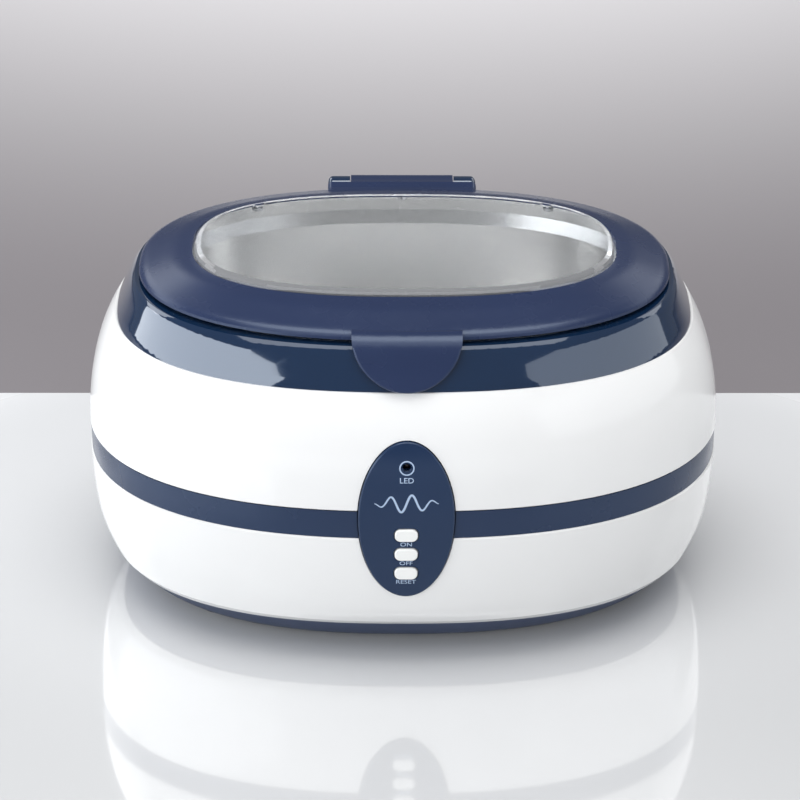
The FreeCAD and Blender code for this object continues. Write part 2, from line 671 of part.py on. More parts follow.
def can_capacitors():
    cans = []
    for x, y, r, h in ((-66.0, -16.0, 6.3, 20.0), (-66.0, 0.5, 5.0, 16.0)):
        can = rod(r, (x, y, BOARD_TOP), (x, y, BOARD_TOP + h))
        can = fillet_where(can, 0.8, lambda e: e.Length > 20)
        vent = fuse([box(x - r * 0.5, x + r * 0.5, y - 0.25, y + 0.25, BOARD_TOP + h - 0.4, 60),
                     box(x - 0.25, x + 0.25, y - r * 0.5, y + r * 0.5, BOARD_TOP + h - 0.4, 60)])
        cans.append(can.cut(vent))
    return group(cans)


def film_capacitors():
    blocks = []
    for x, y, width, deep, tall in ((-53.0, -4.5, 13.0, 6.0, 12.0), (-54.0, -14.0, 10.0, 5.0, 9.0)):
        block = box(x - width / 2, x + width / 2, y - deep / 2, y + deep / 2,
                    BOARD_TOP, BOARD_TOP + tall)
        blocks.append(fillet_where(block, 0.6, lambda e: e.CenterOfMass.z > BOARD_TOP + 0.1))
    return group(blocks)


def heatsinks():
    """Finned aluminium blades, one for each transistor."""
    sinks = []
    for x, y in HEATSINKS:
        blade = [box(x - 1, x + 1, y - 5.4, y + 5.4, BOARD_TOP, BOARD_TOP + 24)]
        for k in range(5):
            fin_y = y - 5.0 + 2.5 * k
            blade.append(box(x, x + 5.5, fin_y - 0.4, fin_y + 0.4, BOARD_TOP + 3, BOARD_TOP + 24))
        sinks.append(fuse(blade))
    return group(sinks)


def power_transistors():
    """Flat packages on the heatsinks, on three legs each."""
    parts = []
    for x, y in HEATSINKS:
        body = box(x - 4.4, x - 1, y - 4.4, y + 4.4, BOARD_TOP + 8, BOARD_TOP + 19)
        legs = [box(x - 3.2, x - 2.6, y + d - 0.35, y + d + 0.35, BOARD_TOP, BOARD_TOP + 8.5)
                for d in (-2.5, 0, 2.5)]
        parts.append(fuse([body] + legs))
    return group(parts)


def fuse_clips():
    clips = []
    for x in (-61.5, -44.5):
        outer = tube(3.1, 2.6, (x - 1.8, FUSE_Y, BOARD_TOP + 4), (x + 1.8, FUSE_Y, BOARD_TOP + 4))
        outer = outer.cut(box(x - 3, x + 3, FUSE_Y - 1.6, FUSE_Y + 1.6, BOARD_TOP + 5, 40))
        foot = box(x - 1.8, x + 1.8, FUSE_Y - 1.0, FUSE_Y + 1.0, BOARD_TOP, BOARD_TOP + 1.15)
        clips.append(outer.fuse(foot).removeSplitter())
    return group(clips)


def fuse_tube():
    """20 mm cartridge fuse: glass barrel between two caps, as one rod."""
    z = BOARD_TOP + 4
    caps = [rod(2.6, (x, FUSE_Y, z), (x + 5, FUSE_Y, z)) for x in (-63.0, -48.0)]
    return fuse(caps + [rod(2.4, (-62.0, FUSE_Y, z), (-44.0, FUSE_Y, z))])


def diodes():
    rows = []
    for k in range(4):
        y = -8.0 + 3.6 * k
        z = BOARD_TOP + 1.6
        body = rod(1.3, (-44.0, y, z), (-39.0, y, z))
        leads = [rod(0.35, (-45.5, y, z), (-37.5, y, z)),
                 rod(0.35, (-45.2, y, BOARD_TOP), (-45.2, y, z)),
                 rod(0.35, (-37.8, y, BOARD_TOP), (-37.8, y, z))]
        rows.append(fuse([body] + leads))
    return group(rows)


def headers():
    """White plug housings where the leads reach the board."""
    plugs = []
    for x, y, wide in HEADERS.values():
        housing = box(x - wide / 2, x + wide / 2, y - 2.5, y + 2.5,
                      BOARD_TOP, BOARD_TOP + HEADER_HEIGHT)
        plugs.append(fillet_where(housing, 0.5, lambda e: e.CenterOfMass.z > BOARD_TOP + 1))
    return group(plugs)


# Power inlet
def power_inlet():
    """Two-pole appliance inlet, snapped into the recess at the back."""
    flange = rounded_bar(0, INLET_Z, 25, 14.5, 2.5, INLET_WALL, INLET_FRONT)
    body = rounded_bar(0, INLET_Z, 19.2, 11.2, 3, INLET_WALL - 18, INLET_WALL + 0.5)
    cavity = rounded_bar(0, INLET_Z, 16.8, 8.6, 4.2, INLET_FRONT - INLET_DEPTH, INLET_FRONT + 1)
    snaps = [snap_nose(side) for side in (-1, 1)]
    whole = fuse([flange, body] + snaps).cut(cavity)
    return whole.cut(group([inlet_pin(x, 0) for x in INLET_PIN_PLACES]))


def snap_nose(side):
    """Snap nose under the inlet's body, behind the recess floor."""
    z = INLET_Z + side * 5.5
    tip = INLET_Z + side * 6.9
    back = INLET_WALL - WALL
    corners = [V(-4, back, z), V(-4, back, tip), V(-4, back - 5, z)]
    return Part.Face(Part.makePolygon(corners + corners[:1])).extrude(V(8, 0, 0))


def inlet_pin(x, rounding):
    """Round pin with a thicker shank where the inlet's body holds it."""
    floor = INLET_FRONT - INLET_DEPTH
    pin = rod(INLET_PIN_R, (x, floor, INLET_Z), (x, INLET_WALL - 1.5, INLET_Z))
    if rounding:
        pin = fillet_where(pin, rounding, lambda e: e.CenterOfMass.y > INLET_WALL - 1.6
                           and e.Length > 5)
    return fuse([pin, rod(1.5, (x, INLET_WALL - 21, INLET_Z), (x, floor, INLET_Z))])


def inlet_pins():
    return group([inlet_pin(x, 0.6) for x in INLET_PIN_PLACES])


# Leads
def mains_leads():
    x1, y1, _ = HEADERS["mains"]
    top = BOARD_TOP + HEADER_HEIGHT
    leads = []
    for k, x in enumerate(INLET_PIN_PLACES):
        y = 36.0 - 3.2 * k
        end = x1 - 1.5 + 3 * k
        leads.append(wire([(x, INLET_WALL - 21, INLET_Z), (x, y + 3, INLET_Z),
                           (-20 - 2 * k, y, 29 - 4 * k), (end, y1, 30 - 3 * k),
                           (end, y1, top)], 1.1))
    return group(leads)


def transducer_leads():
    """Live lead from the middle contact ring, earth lead from the lowest one."""
    levels = stack_heights()
    x, y, _ = HEADERS["transducer"]
    top = BOARD_TOP + HEADER_HEIGHT
    live_z = (levels[2] + levels[3]) / 2
    earth_z = (levels[4] + levels[5]) / 2
    live = [(-20, 5, live_z), (-24.5, 5, live_z), (-27.2, -1, 33), (x - 1.5, y, 29),
            (x - 1.5, y, top)]
    earth = [(-20, -5, earth_z), (-24, -5, earth_z), (x + 1.5, y, 26.5), (x + 1.5, y, top)]
    return group([wire(live, 0.8), wire(earth, 0.8)])


def control_leads():
    """Ribbon of four thin leads from the control board to the main board."""
    x1, y1, _ = HEADERS["controls"]
    start = BOARD_FRONT + PCB + 2.4
    leads = []
    for k in range(4):
        x = 3.0 - 2.0 * k
        end = x1 + 2.4 - 1.6 * k
        leads.append(wire([(x, start, 56), (x, start + 5, 56), (x - 6, -46, 30),
                           (-24.5 - 1.1 * k, -24, 31), (end, y1, 29),
                           (end, y1, BOARD_TOP + HEADER_HEIGHT)], 0.45))
    return group(leads)


def board_plug():
    """Plug housing on the back of the control board, where its leads start."""
    back = BOARD_FRONT + PCB
    return box(-5, 5, back, back + 2.4, 53.5, 58.5)


# Lid
def lid_skin(inset, drop):
    """Outside of the lid frame, or its inside when drawn in and lowered."""
    rim_top = (LID_DOME[0][0] - drop, LID_DOME[0][1] - inset, LID_DOME[0][2])
    rim = [(LID_RIM - (2 if inset else 0), LID_HALF - inset, 2.33), rim_top]
    dome = [(z - drop, half - inset * 0.75, power) for z, half, power in LID_DOME[1:]]
    return fuse([loft(rim, True), loft([rim_top] + dome)])


def lid_frame():
    """Domed frame with the front pull tab, hinge block and knuckle."""
    outer = fuse([lid_skin(0, 0), hinge_block()])
    frame = outer.cut(lid_skin(WALL, 2.5).common(slab(LID_RIM - 3, 112.9)))
    frame = frame.cut(plug(100, WINDOW_SEAT, 72.9, WINDOW_POWER))
    frame = frame.cut(plug(100, WINDOW_SEAT + 0.8, 71.3, WINDOW_POWER))
    frame = frame.cut(plug(100, 130, APERTURE_HALF, WINDOW_POWER))
    pads = [rod(2.7, (x, y, BUMPER_TOP), (x, y, 112)) for x, y in BUMPERS]
    pads += [rod(2.4, (x, y, WINDOW_SEAT), (x, y, 114)) for x, y in retainer_places()]
    whole = frame.fuse([fuse(pads).common(lid_skin(0.8, 0.8)), pull_tab()]).removeSplitter()
    holes = [rod(1.0, (x, y, 110), (x, y, 113.6)) for x, y in retainer_places()]
    holes += [rod(1.3, (x, y, 107), (x, y, BUMPER_TOP + 1.6)) for x, y in BUMPERS]
    holes += [rod(2.3, (x, y, 105), (x, y, BUMPER_TOP)) for x, y in BUMPERS]
    holes.append(rod(PIN_R + 0.05, (-40, HINGE_Y, HINGE_Z), (40, HINGE_Y, HINGE_Z)))
    return whole.cut(group(holes))


def hinge_block():
    """Raised block across the back of the lid, running back to the knuckle."""
    low = LID_RIM + 0.3
    side = prism_x([(49.0, low + 2), (49.0, 111.2), (52.6, 111.4), (55.3, 112.2),
                    (55.9, 111.9), (55.9, low)], EAR_OUTER)
    side = fillet_where(side, 1.6, lambda e: abs(abs(e.CenterOfMass.x) - EAR_OUTER) < 0.1
                        and e.CenterOfMass.z > 111.2)
    arm = prism_x([(50.0, low + 2), (50.0, 111.2), (52.6, 111.4), (55.3, 112.2),
                   (57.6, HINGE_Z + KNUCKLE_R - 0.02), (HINGE_Y, HINGE_Z + KNUCKLE_R),
                   (HINGE_Y, HINGE_Z), (56.4, low), (55.0, low)], KNUCKLE_HALF)
    knuckle = rod(KNUCKLE_R, (-KNUCKLE_HALF, HINGE_Y, HINGE_Z), (KNUCKLE_HALF, HINGE_Y, HINGE_Z))
    return fuse([side, arm, knuckle])


def tab_outline():
    """Prism along Y with the tab's outline: half an ellipse under a straight top."""
    centre = V(0, -90, TAB_ROOT)
    arc = half_ellipse(centre, TAB_HALF, TAB_ROOT - TAB_TIP, -1)
    top = Part.makePolygon([centre + V(-TAB_HALF, 0, 0), centre + V(-TAB_HALF, 0, 3),
                            centre + V(TAB_HALF, 0, 3), centre + V(TAB_HALF, 0, 0)])
    return Part.Face(Part.Wire([arc] + top.Edges)).extrude(V(0, 50, 0))


def pull_tab():
    """Curved tab with a rounded edge that hangs in front of the ring."""
    root = 107.6
    outer = loft([(z, half, 2.41) for z, half in TAB_PROFILE])
    inner = loft([(92.0, 94.5, 2.41), (108.6, 86.9, 2.41)], True)
    drop = outer.common(slab(90, root)).cut(inner).common(tab_outline()).Solids[0]
    drop = fillet_where(drop, 0.6, lambda e: e.CenterOfMass.z < 104 and e.CenterOfMass.y < -62)
    crown = outer.common(slab(root, 112)).cut(inner)
    crown = crown.cut(plug(105.0, 112.0, 81.6, 2.41)).common(tab_outline())
    return drop.fuse(crown).removeSplitter()


def lid_bumpers():
    """Soft stops under the lid, which rest on the tank's flange."""
    stops = []
    for x, y in BUMPERS:
        pad = rod(2.0, (x, y, TANK_RIM + 0.05), (x, y, BUMPER_TOP))
        stops.append(fuse([pad, rod(1.2, (x, y, BUMPER_TOP), (x, y, BUMPER_TOP + 1.5))]))
    return group(stops)


def lid_window():
    """Clear plate that fills the aperture: bevelled top edge, thin flange under the frame."""
    half = APERTURE_HALF - 0.8
    plate = loft([(WINDOW_SEAT, half, WINDOW_POWER), (WINDOW_EDGE, half, WINDOW_POWER),
                  (WINDOW_EDGE + 0.7, half - 0.6, WINDOW_POWER),
                  (WINDOW_TOP, half - 2.0, WINDOW_POWER)], True)
    flange = plug(WINDOW_SEAT, WINDOW_SEAT + 0.75, 71.0, WINDOW_POWER)
    notches = [rod(2.7, (x, y, 105), (x, y, 112.6)) for x, y in retainer_places()]
    return fuse([plate, flange]).cut(group(notches))


def retainer_places():
    """Six screw places around the window."""
    places = [(0.0, 41.3), (0.0, -41.3)]
    places += [(x, y) for x in (-48.0, 48.0) for y in (-32.2, 32.2)]
    return places


def window_retainer():
    """Ring that clamps the window's flange up against the frame."""
    ring = plug(WINDOW_SEAT - 1.2, WINDOW_SEAT, 72.6, WINDOW_POWER)
    opening = plug(109.0, 112.0, 69.3, WINDOW_POWER)
    holes = [rod(1.2, (x, y, 105), (x, y, 113)) for x, y in retainer_places()]
    return ring.cut(opening).cut(group(holes))


def retainer_screws():
    return group([pan_screw(x, y, WINDOW_SEAT - 1.2, 3.0, True, 0.95, 1.8, 1.0)
                  for x, y in retainer_places()])


def build():
    """Every sub-part by its node name."""
    parts = {
        "base_plate": base_plate(),
        "rubber_feet": rubber_feet(),
        "base_screws": base_screws(),
        "lower_shell": lower_shell(),
        "belt_trim": belt_trim(),
        "upper_shell": upper_shell(),
        "housing_screws": housing_screws(),
        "top_ring": top_ring(),
        "hinge_pin": hinge_pin(),
        "tank": tank(),
        "tank_gasket": tank_gasket(),
        "transducer_horn": transducer_horn(),
        "piezo_rings": piezo_rings(),
        "electrodes": electrodes(),
        "insulating_sleeve": insulating_sleeve(),
        "transducer_back_mass": transducer_back_mass(),
        "transducer_bolt": transducer_bolt(),
        "control_panel": control_panel(),
        "control_board": control_board(),
        "control_board_screws": control_board_screws(),
        "control_board_plug": board_plug(),
        "switch_bodies": switch_bodies(),
        "power_led": power_led(),
        "main_board": main_board(),
        "main_board_screws": main_board_screws(),
        "transformer_core": transformer_core(),
        "transformer_winding": transformer_winding(),
        "choke": choke(),
        "can_capacitors": can_capacitors(),
        "film_capacitors": film_capacitors(),
        "heatsinks": heatsinks(),
        "power_transistors": power_transistors(),
        "fuse_clips": fuse_clips(),
        "fuse_tube": fuse_tube(),
        "diodes": diodes(),
        "headers": headers(),
        "power_inlet": power_inlet(),
        "inlet_pins": inlet_pins(),
        "mains_leads": mains_leads(),
        "transducer_leads": transducer_leads(),
        "control_leads": control_leads(),
        "lid_frame": lid_frame(),
        "lid_window": lid_window(),
        "window_retainer": window_retainer(),
        "retainer_screws": retainer_screws(),
        "lid_bumpers": lid_bumpers(),
    }
    for name, z in BUTTON_HEIGHTS.items():
        parts["button_" + name] = push_button(z)
        parts["plunger_" + name] = switch_plunger(z)
    return parts


os.makedirs("parts", exist_ok=True)
for node, shape in build().items():
    shape.exportStep("parts/" + node + ".step")
    print(node, len(shape.Solids), "solids", "valid" if shape.isValid() else "NOT VALID",
          round(shape.Volume, 1))
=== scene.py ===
import json
import math

import bmesh
import bpy
from mathutils import Matrix, Vector
from mathutils.bvhtree import BVHTree


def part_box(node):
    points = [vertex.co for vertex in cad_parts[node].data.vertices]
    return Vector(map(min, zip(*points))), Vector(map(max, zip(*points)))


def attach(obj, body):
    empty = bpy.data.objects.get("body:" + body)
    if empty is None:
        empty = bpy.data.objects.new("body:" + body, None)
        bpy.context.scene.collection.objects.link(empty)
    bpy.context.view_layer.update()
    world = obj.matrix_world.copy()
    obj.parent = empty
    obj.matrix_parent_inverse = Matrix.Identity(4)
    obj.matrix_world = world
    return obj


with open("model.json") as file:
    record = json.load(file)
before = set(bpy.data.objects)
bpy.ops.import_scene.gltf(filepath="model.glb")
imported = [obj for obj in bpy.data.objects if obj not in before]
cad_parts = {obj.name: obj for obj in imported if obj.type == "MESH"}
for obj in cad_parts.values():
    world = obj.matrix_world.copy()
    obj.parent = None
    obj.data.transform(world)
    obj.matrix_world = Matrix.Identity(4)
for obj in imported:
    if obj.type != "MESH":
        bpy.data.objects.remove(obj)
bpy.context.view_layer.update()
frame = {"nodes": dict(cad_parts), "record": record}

NODES = frame["nodes"]
MM = 0.001
MIDDLE = (0, 0, 0.06)       # what the lamps are aimed at

# Camera: in front of the panel and above it
CAMERA_TARGET = Vector((-0.00102, 0.0, 0.0582))
CAMERA_DISTANCE = 1.0
CAMERA_AZIMUTH = math.radians(-1.0)
CAMERA_ELEVATION = math.radians(28.0)
CAMERA_ROLL = math.radians(0.48)
CAMERA_LENS = 136.5         # mm
CAMERA_SENSOR = 36.0        # mm

# Surface variation of moulded plastic, in noise cells per metre
COLOUR_CELLS = 22.0
GLOSS_CELLS = 75.0

# Ink on the panel
INK_LIFT = 0.04 * MM        # how far its face stands proud of the panel
INK_DEPTH = 1.6 * INK_LIFT  # how thick it is, so that its back lies inside the panel
INK_EDGE = 1.2 * MM         # longer edges are divided, so that it follows the panel's curve
CAPITAL = 0.70              # height of a capital letter as a share of the font's size
BOLDNESS = 0.012            # how much the strokes grow, as a share of the letters' height
LED_LABEL_DROP = 4.1 * MM   # from the light's middle down to its label
WAVE_DROP = 11.8 * MM       # from the light's middle down to the wave mark
WORD_DROP = 3.35 * MM       # from a button's middle down to its word
WAVE_SWINGS = 3
WAVE_TAPER = 0.8            # below 1, the swings keep their height for longer
WAVE_THINNEST = 0.35        # stroke's thickness at its ends, as a share of its middle's
RAY_START = -0.2            # y, in front of the panel, from which its surface is found

# Stage: a pale table, glossy around the object only, with painted light that makes it lighter far
# from the object, and a backdrop whose painted glow fades
STAGE_SIZE = 4.0
TABLE_EDGE = 0.115          # y where the table ends and the backdrop starts
# Painted light: the table's colour is darker near the object and lighter far from it, standing in
# for how the lamps' light falls across it
TABLE_NEAR_PAINTED_SHADE = (0.62, 0.622, 0.625)
TABLE_FAR_PAINTED_LIGHT = (0.74, 0.745, 0.755)
TABLE_PAINTED_LIGHT_FADE = (-0.14, 0.11)  # y range over which the painted light turns the table from its near to its far colour
GLOSS_CENTRE = (0.0, -0.10, 0.0)
GLOSS_RADII = (0.22, 0.30)  # fully glossy inside the first, dull outside the second
# Painted light: a pale glow painted on the backdrop around this centre, fading to grey
BACKDROP_GLOW_CENTRE = (0.03, 0.95, 0.0)
BACKDROP_GLOW_RADII = (0.10, 0.80)   # painted glow: palest inside the first, darkest outside the second
BACKDROP_DARK = (0.21, 0.195, 0.205)
BACKDROP_PAINTED_GLOW = (1.0, 0.98, 0.99)

# Lamps: azimuth (0 in front of the panel, 90 to its right), elevation and distance from MIDDLE,
# then width, height, power, whether glossy parts mirror it, and colour
SKY = (0.93, 0.95, 1.0)
SKY_STRENGTH = 0.20
COOL = (0.92, 0.96, 1.0)
NEUTRAL = (1, 1, 1)
LAMPS = [
    ("left_box", -70, 15, 1.25, 2.3, 0.62, 17.0, True, COOL),
    ("right_box", 66, 15, 1.25, 1.9, 0.62, 4.3, True, COOL),
    ("front_box", 0, 66, 1.45, 1.7, 0.7, 6.0, True, NEUTRAL),
    ("low_fill", 0, 30, 1.45, 1.8, 0.4, 4.2, False, NEUTRAL),
    ("top_box", 0, 88, 1.5, 1.3, 0.7, 13.5, True, NEUTRAL),
    ("left_rim", -128, 34, 1.3, 1.1, 0.5, 4.2, True, NEUTRAL),
    ("right_rim", 128, 34, 1.3, 1.1, 0.5, 2.6, True, NEUTRAL),
]


# Shader helpers
def new_material(name):
    """Empty material with an output and a Principled shader, and object coordinates."""
    mat = bpy.data.materials.new(name)
    mat.use_nodes = True
    tree = mat.node_tree
    tree.nodes.clear()
    out = tree.nodes.new("ShaderNodeOutputMaterial")
    shader = tree.nodes.new("ShaderNodeBsdfPrincipled")
    coords = tree.nodes.new("ShaderNodeTexCoord")
    tree.links.new(shader.outputs["BSDF"], out.inputs["Surface"])
    return mat, tree, shader, coords.outputs["Object"]


def noise(tree, coords, scale, detail=3.0, roughness=0.5, stretch=None):
    """Noise in object space; scale is in cells per metre, and stretch multiplies it per axis."""
    if stretch:
        mapping = tree.nodes.new("ShaderNodeMapping")
        mapping.inputs["Scale"].default_value = stretch
        tree.links.new(coords, mapping.inputs["Vector"])
        coords = mapping.outputs["Vector"]
    node = tree.nodes.new("ShaderNodeTexNoise")
    node.inputs["Scale"].default_value = scale
    node.inputs["Detail"].default_value = detail
    node.inputs["Roughness"].default_value = roughness
    tree.links.new(coords, node.inputs["Vector"])
    return node.outputs["Fac"]


def spread(tree, value, low, high, from_low=0.3, from_high=0.7):
    """Maps a value smoothly from from_low..from_high, where noise mostly lies, to low..high."""
    node = tree.nodes.new("ShaderNodeMapRange")
    node.interpolation_type = "SMOOTHSTEP"
    node.inputs["From Min"].default_value = from_low
    node.inputs["From Max"].default_value = from_high
    node.inputs["To Min"].default_value = low
    node.inputs["To Max"].default_value = high
    tree.links.new(value, node.inputs["Value"])
    return node.outputs["Result"]


def tint(tree, value, first, second):
    """Blends from the first colour to the second by a value of 0 to 1."""
    node = tree.nodes.new("ShaderNodeMix")
    node.data_type = "RGBA"
    node.inputs["A"].default_value = (*first, 1.0)
    node.inputs["B"].default_value = (*second, 1.0)
    tree.links.new(value, node.inputs["Factor"])
    return node.outputs["Result"]


def relief(tree, shader, height, strength, distance):
    """Bump of the given depth in metres."""
    node = tree.nodes.new("ShaderNodeBump")
    node.inputs["Strength"].default_value = strength
    node.inputs["Distance"].default_value = distance
    tree.links.new(height, node.inputs["Height"])
    tree.links.new(node.outputs["Normal"], shader.inputs["Normal"])


def shade(colour, factor):
    """The colour made darker or lighter by a factor."""
    return tuple(min(1.0, c * factor) for c in colour)


def moulded(name, colour, roughness, texture_mm=0.35, texture=0.05, coat=0.0, variation=0.04,
            rough_spread=0.08, gloss=1.5, tinge=(1.0, 1.0, 1.0)):
    """Moulded plastic: fine grain, slight variation of colour and gloss, and a tinged shine."""
    mat, tree, shader, coords = new_material(name)
    broad = noise(tree, coords, COLOUR_CELLS, 2.0)
    colours = tint(tree, spread(tree, broad, 0.0, 1.0), shade(colour, 1 - variation),
                   shade(colour, 1 + variation))
    tree.links.new(colours, shader.inputs["Base Color"])
    patch = noise(tree, coords, GLOSS_CELLS, 3.0)
    tree.links.new(spread(tree, patch, roughness * (1 - rough_spread),
                          roughness * (1 + rough_spread)), shader.inputs["Roughness"])
    shader.inputs["IOR"].default_value = gloss
    shader.inputs["Specular Tint"].default_value = (*tinge, 1.0)
    if coat:
        shader.inputs["Coat Weight"].default_value = coat
        shader.inputs["Coat Roughness"].default_value = 0.03
        shader.inputs["Coat IOR"].default_value = gloss
    grain = noise(tree, coords, 1000.0 / texture_mm, 2.0, 0.6)
    relief(tree, shader, grain, texture, 0.02 * MM)
    return mat


def metal(name, colour, roughness, stretch=(1, 1, 1), scale=900.0, texture=0.12, contrast=1.0):
    """Metal with a finish that can run in one direction."""
    mat, tree, shader, coords = new_material(name)
    shader.inputs["Metallic"].default_value = 1.0
    lines = noise(tree, coords, scale, 4.0, 0.6, stretch)
    colours = tint(tree, spread(tree, lines, 0.0, 1.0), shade(colour, 1 - 0.07 * contrast),
                   shade(colour, 1 + 0.05 * contrast))
    tree.links.new(colours, shader.inputs["Base Color"])
    tree.links.new(spread(tree, lines, roughness * (1 - 0.25 * contrast),
                          roughness * (1 + 0.3 * contrast)), shader.inputs["Roughness"])
    if texture:
        relief(tree, shader, lines, texture, 0.01 * MM)
    return mat


def milky_edges_painted_glint(tree, clear, amount):
    """Edges and bevels of a clear plate look paler than its faces: partly light they scatter, and
    partly a painted highlight, a pale diffuse standing in for the glint on the bevels.
    """
    edge, face = 0.95, 0.99     # how upright a normal is on an edge or bevel, and on a face
    facing = tree.nodes.new("ShaderNodeTexCoord")
    split = tree.nodes.new("ShaderNodeSeparateXYZ")
    upright = tree.nodes.new("ShaderNodeMath")
    # painted highlight: this pale diffuse stands in for the glint on edges and bevels
    scatter = tree.nodes.new("ShaderNodeBsdfDiffuse")
    mix = tree.nodes.new("ShaderNodeMixShader")
    upright.operation = "ABSOLUTE"
    scatter.inputs["Color"].default_value = (0.86, 0.87, 0.90, 1.0)
    tree.links.new(facing.outputs["Normal"], split.inputs["Vector"])
    tree.links.new(split.outputs["Z"], upright.inputs[0])
    tree.links.new(spread(tree, upright.outputs["Value"], amount, 0.0, edge, face),
                   mix.inputs["Fac"])
    tree.links.new(clear, mix.inputs[1])
    tree.links.new(scatter.outputs["BSDF"], mix.inputs[2])
    return mix.outputs["Shader"]


def clear_plastic(name, colour, edges=0.0):
    """Clear moulding; lamps shine straight through it so that the tank below is lit."""
    mat, tree, shader, coords = new_material(name)
    shader.inputs["Transmission Weight"].default_value = 1.0
    shader.inputs["IOR"].default_value = 1.49
    haze = noise(tree, coords, 60.0, 3.0)
    colours = tint(tree, spread(tree, haze, 0.0, 1.0), shade(colour, 0.985), colour)
    tree.links.new(colours, shader.inputs["Base Color"])
    tree.links.new(spread(tree, haze, 0.004, 0.02), shader.inputs["Roughness"])
    path = tree.nodes.new("ShaderNodeLightPath")
    through = tree.nodes.new("ShaderNodeBsdfTransparent")
    through.inputs["Color"].default_value = (0.93, 0.94, 0.95, 1.0)
    mix = tree.nodes.new("ShaderNodeMixShader")
    out = tree.nodes["Material Output"]
    tree.links.new(path.outputs["Is Shadow Ray"], mix.inputs["Fac"])
    # the pale edges are partly light they scatter and partly a painted highlight
    clear = milky_edges_painted_glint(tree, shader.outputs["BSDF"], edges) if edges else shader.outputs["BSDF"]
    tree.links.new(clear, mix.inputs[1])
    tree.links.new(through.outputs["BSDF"], mix.inputs[2])
    tree.links.new(mix.outputs["Shader"], out.inputs["Surface"])
    return mat


def circuit_board(name):
    """Solder mask with copper tracks just visible under it."""
    mat, tree, shader, coords = new_material(name)
    tracks = tree.nodes.new("ShaderNodeTexBrick")
    tracks.inputs["Scale"].default_value = 160.0
    tracks.inputs["Mortar Size"].default_value = 0.06
    tracks.inputs["Color1"].default_value = (0.015, 0.10, 0.035, 1)
    tracks.inputs["Color2"].default_value = (0.02, 0.13, 0.05, 1)
    tracks.inputs["Mortar"].default_value = (0.05, 0.21, 0.08, 1)
    tree.links.new(coords, tracks.inputs["Vector"])
    tree.links.new(tracks.outputs["Color"], shader.inputs["Base Color"])
    patch = noise(tree, coords, 300.0)
    tree.links.new(spread(tree, patch, 0.22, 0.38), shader.inputs["Roughness"])
    relief(tree, shader, tracks.outputs["Fac"], 0.2, 0.03 * MM)
    return mat


def winding(name):
    """Varnished copper turns."""
    mat, tree, shader, coords = new_material(name)
    turns = tree.nodes.new("ShaderNodeTexWave")
    turns.inputs["Scale"].default_value = 500.0
    turns.inputs["Distortion"].default_value = 0.4
    turns.bands_direction = "Z"
    tree.links.new(coords, turns.inputs["Vector"])
    colours = tint(tree, turns.outputs["Fac"], (0.22, 0.09, 0.03), (0.60, 0.28, 0.10))
    tree.links.new(colours, shader.inputs["Base Color"])
    tree.links.new(spread(tree, turns.outputs["Fac"], 0.25, 0.4, 0, 1), shader.inputs["Roughness"])
    relief(tree, shader, turns.outputs["Fac"], 0.6, 0.2 * MM)
    return mat


def node_materials():
    """One material for every CAD node, by its slot in the record."""
    white = (0.775, 0.772, 0.765)
    blue = (0.72, 0.84, 1.0)
    finish = {
        "base_navy": moulded("base_navy", (0.031, 0.047, 0.100), 0.38, tinge=blue),
        "belt_navy": moulded("belt_navy", (0.013, 0.026, 0.066), 0.26, tinge=blue),
        "ring_navy": moulded("ring_navy", (0.005, 0.019, 0.053), 0.07, texture=0.01, coat=1.0,
                             gloss=1.6, tinge=blue),
        "lid_navy": moulded("lid_navy", (0.017, 0.027, 0.070), 0.27, texture=0.02,
                            rough_spread=0.04, tinge=blue),
        "panel_navy": moulded("panel_navy", (0.010, 0.024, 0.064), 0.24, texture=0.04, tinge=blue),
        "white_shell": moulded("white_shell", white, 0.11, texture=0.015, variation=0.008),
        "button_white": moulded("button_white", (0.82, 0.82, 0.80), 0.2, variation=0.01),
        # the window's edges get a painted highlight as well as scattered light
        "clear_plastic": clear_plastic("clear_plastic", (0.98, 0.985, 0.99), edges=0.22),
        "stainless": metal("stainless", (0.88, 0.88, 0.875), 0.26, scale=2600.0, texture=0.0,
                           contrast=0.1),
        "silicone": moulded("silicone", (0.55, 0.55, 0.53), 0.45),
        "rubber": moulded("rubber", (0.018, 0.018, 0.018), 0.7, texture=0.3),
        "zinc_steel": metal("zinc_steel", (0.60, 0.61, 0.64), 0.28),
        "aluminium": metal("aluminium", (0.76, 0.76, 0.77), 0.32, stretch=(1, 1, 6)),
        "piezo": moulded("piezo", (0.25, 0.20, 0.14), 0.55, texture=0.2),
        "brass": metal("brass", (0.72, 0.52, 0.22), 0.25),
        "circuit_board": circuit_board("circuit_board"),
        "black_plastic": moulded("black_plastic", (0.015, 0.015, 0.016), 0.4, texture=0.15),
        "natural_nylon": moulded("natural_nylon", (0.72, 0.70, 0.60), 0.4),
        "ferrite": moulded("ferrite", (0.035, 0.035, 0.038), 0.5, texture=0.4),
        "winding": winding("winding"),
        "capacitor_sleeve": moulded("capacitor_sleeve", (0.010, 0.018, 0.06), 0.22),
        "capacitor_film": moulded("capacitor_film", (0.55, 0.40, 0.04), 0.3),
        "fuse_glass": clear_plastic("fuse_glass", (0.90, 0.93, 0.93)),
        "lead_insulation": moulded("lead_insulation", (0.30, 0.02, 0.02), 0.4),
        "led_lens": moulded("led_lens", (0.012, 0.008, 0.010), 0.08),
        "legend_ink": moulded("legend_ink", (0.36, 0.46, 0.62), 0.45),
    }
    for part in frame["record"]["subparts"]:
        node = NODES[part["node"]]
        node.data.materials.clear()
        node.data.materials.append(finish[part["material_slot"]])
    return finish


# Pieces on the panel
def surface_tree(node):
    """Tree of a CAD node's faces, to find its surface with."""
    mesh = NODES[node].data
    return BVHTree.FromPolygons([v.co for v in mesh.vertices], [p.vertices for p in mesh.polygons])


